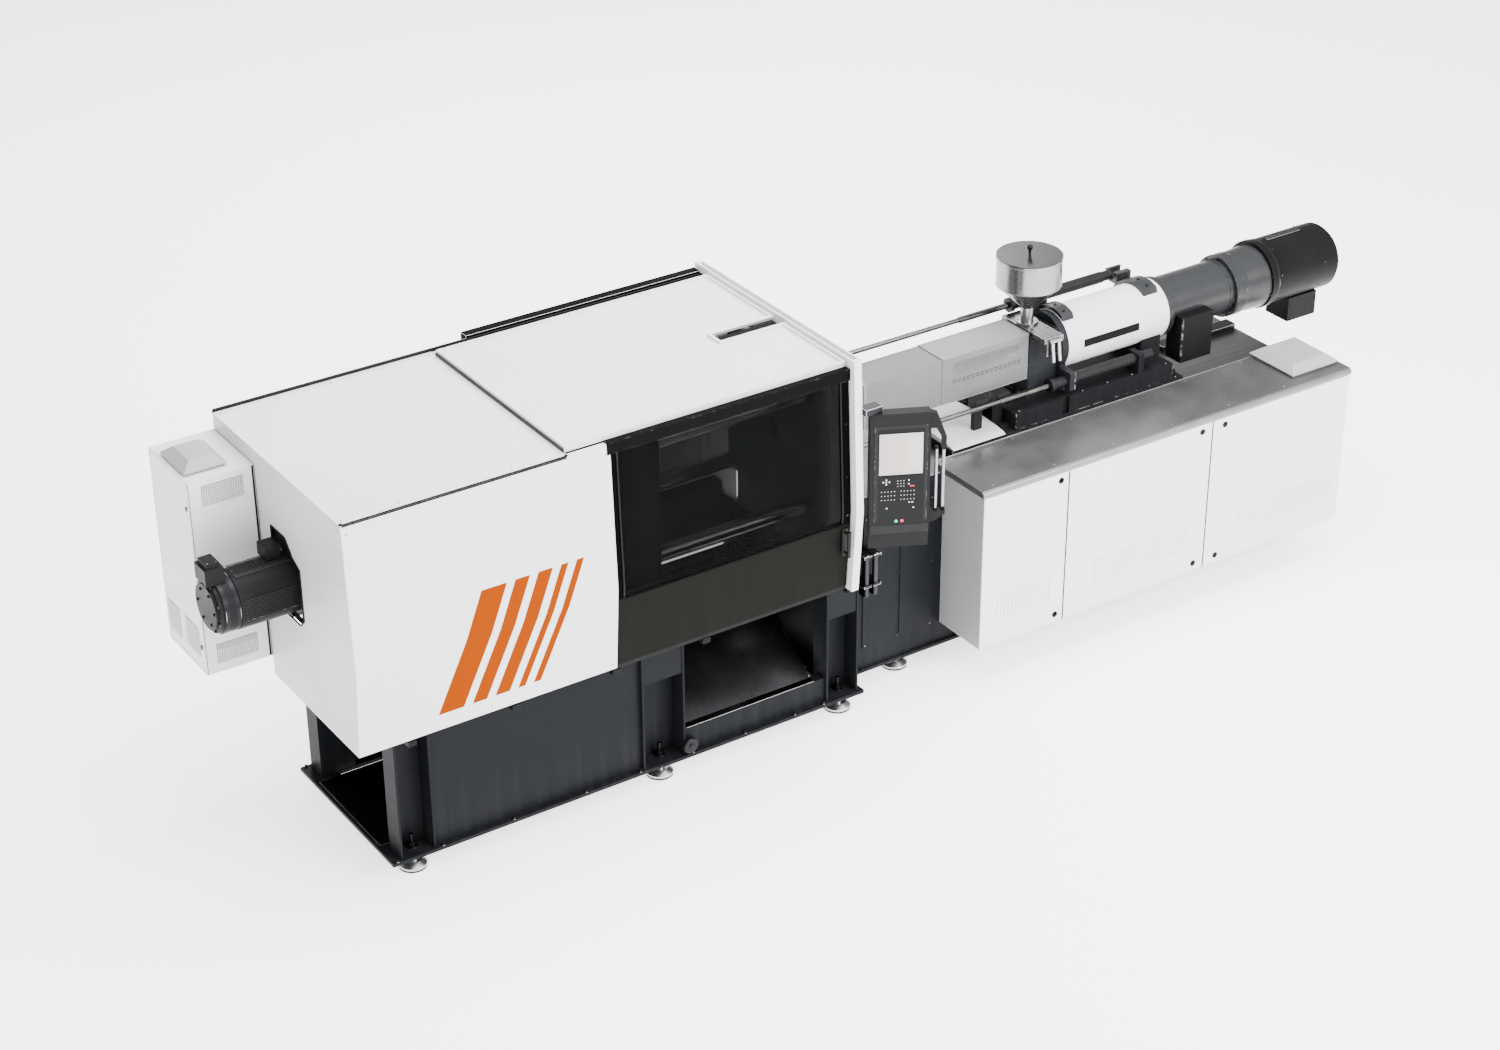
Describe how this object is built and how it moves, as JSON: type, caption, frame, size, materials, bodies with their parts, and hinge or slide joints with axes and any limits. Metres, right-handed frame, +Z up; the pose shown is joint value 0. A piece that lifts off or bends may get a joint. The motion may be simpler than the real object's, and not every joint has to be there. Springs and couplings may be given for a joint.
{
  "type": "injection moulding machine",
  "caption": "Horizontal injection moulding machine with a white clamp guard, sliding doors, operator panel, hopper, injection unit and electrical cabinet on dark bases.",
  "frame": {"origin": "centre of the footprint's bounding box, on the floor under the levelling feet", "axes": "+X from the clamp end to the injection end, along the machine; +Y to the rear; +Z up; the operator stands on the -Y side"},
  "size_m": [7.208, 1.7054, 2.256],
  "materials": {
    "guard_white": "smooth satin powder coat",
    "cabinet_grey": "satin powder coat",
    "base_dark": "satin structural paint",
    "motor_black": "satin black paint",
    "door_dark": "satin paint",
    "trim_dark": "satin paint",
    "light_grey": "satin paint",
    "steel": "brushed",
    "machined": "machined",
    "iron": "painted casting",
    "chrome": "polished",
    "window": "tinted",
    "panel_black": "fine grain",
    "screen": "glossy",
    "green": "glossy",
    "red": "glossy",
    "lock_black": "matte"
  },
  "bodies": {
    "frame": {"clamp_base": "base_dark", "product_chute": "steel", "levelling_feet": "chrome", "injection_base": "base_dark", "end_cover": "cabinet_grey", "front_panel": "guard_white", "rear_panel": "guard_white", "top_cover": "guard_white", "roof_hatch": "guard_white", "end_frame": "guard_white", "guard_rails": "trim_dark", "drive_cabinet": "cabinet_grey", "roof_vents": "light_grey", "clamp_motor": "motor_black", "tail_platen": "iron", "fixed_platen": "iron", "tie_bars": "machined", "hmi_arm": "trim_dark", "electrical_cabinet": "cabinet_grey", "cabinet_top": "steel", "purge_guard": "light_grey", "purge_tray": "guard_white", "slide_bed": "base_dark", "guide_rods": "machined"},
    "front_door": {"front_door_frame": "motor_black", "front_door_window": "window", "front_door_panel": "door_dark"},
    "rear_door": {"rear_door": "guard_white"},
    "drive_door": {"drive_cabinet_door": "cabinet_grey"},
    "moving_clamp": {"moving_platen": "iron", "crosshead": "iron"},
    "ball_screw": {"ball_screw": "machined"},
    "ejector": {"ejector": "machined"},
    "operator_panel": {"hmi_housing": "panel_black", "hmi_screen": "screen"},
    "start_button": {"hmi_start_button": "green"},
    "stop_button": {"hmi_stop_button": "red"},
    "purge_hood": {"purge_hood": "light_grey"},
    "injection_unit": {"carriage": "base_dark", "barrel_holder": "iron", "barrel": "machined", "injection_housing": "guard_white", "saddle_clamps": "light_grey", "drive_housing": "motor_black", "dosing_motor": "motor_black", "carriage_cylinders": "motor_black"},
    "screw_carrier": {"screw_carrier": "machined"},
    "screw": {"screw": "machined"},
    "hopper": {"hopper_slide": "light_grey", "hopper_body": "steel"},
    "hopper_lid": {"hopper_lid": "steel"},
    "cabinet_door_1": {"cabinet_door_1": "guard_white"},
    "lock_1_low": {"lock_1_low": "lock_black"},
    "lock_1_high": {"lock_1_high": "lock_black"},
    "cabinet_door_2": {"cabinet_door_2": "guard_white"},
    "lock_2_low": {"lock_2_low": "lock_black"},
    "lock_2_high": {"lock_2_high": "lock_black"},
    "cabinet_door_3": {"cabinet_door_3": "guard_white"},
    "lock_3_low": {"lock_3_low": "lock_black"},
    "lock_3_high": {"lock_3_high": "lock_black"}
  },
  "joints": [
    {"name": "front_door_slide", "type": "slide", "parent": "frame", "child": "front_door", "axis": [1, 0, 0], "range_m": [-1.3, 0]},
    {"name": "rear_door_slide", "type": "slide", "parent": "frame", "child": "rear_door", "axis": [1, 0, 0], "range_m": [-1.3, 0]},
    {"name": "drive_door_hinge", "type": "hinge", "parent": "frame", "child": "drive_door", "pos_m": [-3.5233, 0.77566, 1.573], "axis": [0, 0, 1], "range_deg": [-110, 0]},
    {"name": "clamp_slide", "type": "slide", "parent": "frame", "child": "moving_clamp", "axis": [1, 0, 0], "range_m": [-0.35, 0]},
    {"name": "ball_screw_turn", "type": "hinge", "parent": "frame", "child": "ball_screw", "pos_m": [-2.514, 0.07766, 1.595], "axis": [1, 0, 0], "range_deg": [-3150.5, 0.5]},
    {"name": "ejector_slide", "type": "slide", "parent": "moving_clamp", "child": "ejector", "axis": [1, 0, 0], "range_m": [0, 0.08]},
    {"name": "panel_swivel", "type": "hinge", "parent": "frame", "child": "operator_panel", "pos_m": [-0.17609, -0.66349, 1.925], "axis": [0, 0, 1], "range_deg": [-60, 40]},
    {"name": "start_press", "type": "slide", "parent": "operator_panel", "child": "start_button", "axis": [0.4446, 0.8957, 0], "range_m": [0, 0.0035], "stiffness_N_per_m": 400},
    {"name": "stop_press", "type": "slide", "parent": "operator_panel", "child": "stop_button", "axis": [0.4446, 0.8957, 0], "range_m": [0, 0.0035], "stiffness_N_per_m": 400},
    {"name": "purge_hood_slide", "type": "slide", "parent": "frame", "child": "purge_hood", "axis": [1, 0, 0], "range_m": [-0.5, 0]},
    {"name": "carriage_slide", "type": "slide", "parent": "frame", "child": "injection_unit", "axis": [1, 0, 0], "range_m": [0, 0.25]},
    {"name": "injection_stroke", "type": "slide", "parent": "injection_unit", "child": "screw_carrier", "axis": [1, 0, 0], "range_m": [0, 0.15]},
    {"name": "screw_turn", "type": "hinge", "parent": "screw_carrier", "child": "screw", "pos_m": [2.036, 0.07766, 1.595], "axis": [1, 0, 0], "continuous": true},
    {"name": "hopper_cross_slide", "type": "slide", "parent": "injection_unit", "child": "hopper", "axis": [0, 1, 0], "range_m": [-0.18, 0]},
    {"name": "hopper_lid_lift", "type": "slide", "parent": "hopper", "child": "hopper_lid", "axis": [0, 0, 1], "range_m": [0, 0.12]},
    {"name": "cabinet_door_1_hinge", "type": "hinge", "parent": "frame", "child": "cabinet_door_1", "pos_m": [0.584, -0.62334, 0.711], "axis": [0, 0, 1], "range_deg": [-110, 0]},
    {"name": "lock_1_low_turn", "type": "hinge", "parent": "cabinet_door_1", "child": "lock_1_low", "pos_m": [1.112, -0.62334, 0.289], "axis": [0, 1, 0], "range_deg": [0, 90]},
    {"name": "lock_1_high_turn", "type": "hinge", "parent": "cabinet_door_1", "child": "lock_1_high", "pos_m": [1.112, -0.62334, 1.139], "axis": [0, 1, 0], "range_deg": [0, 90]},
    {"name": "cabinet_door_2_hinge", "type": "hinge", "parent": "frame", "child": "cabinet_door_2", "pos_m": [1.174, -0.62334, 0.711], "axis": [0, 0, 1], "range_deg": [-110, 0]},
    {"name": "lock_2_low_turn", "type": "hinge", "parent": "cabinet_door_2", "child": "lock_2_low", "pos_m": [2.128, -0.62334, 0.289], "axis": [0, 1, 0], "range_deg": [0, 90]},
    {"name": "lock_2_high_turn", "type": "hinge", "parent": "cabinet_door_2", "child": "lock_2_high", "pos_m": [2.128, -0.62334, 1.139], "axis": [0, 1, 0], "range_deg": [0, 90]},
    {"name": "cabinet_door_3_hinge", "type": "hinge", "parent": "frame", "child": "cabinet_door_3", "pos_m": [3.246, -0.62334, 0.711], "axis": [0, 0, 1], "range_deg": [0, 110]},
    {"name": "lock_3_low_turn", "type": "hinge", "parent": "cabinet_door_3", "child": "lock_3_low", "pos_m": [2.296, -0.62334, 0.289], "axis": [0, 1, 0], "range_deg": [0, 90]},
    {"name": "lock_3_high_turn", "type": "hinge", "parent": "cabinet_door_3", "child": "lock_3_high", "pos_m": [2.296, -0.62334, 1.139], "axis": [0, 1, 0], "range_deg": [0, 90]}
  ],
  "couplings": [
    {"joint": "ball_screw_turn", "follows": "clamp_slide", "rad_per_m": 157.08}
  ]
}
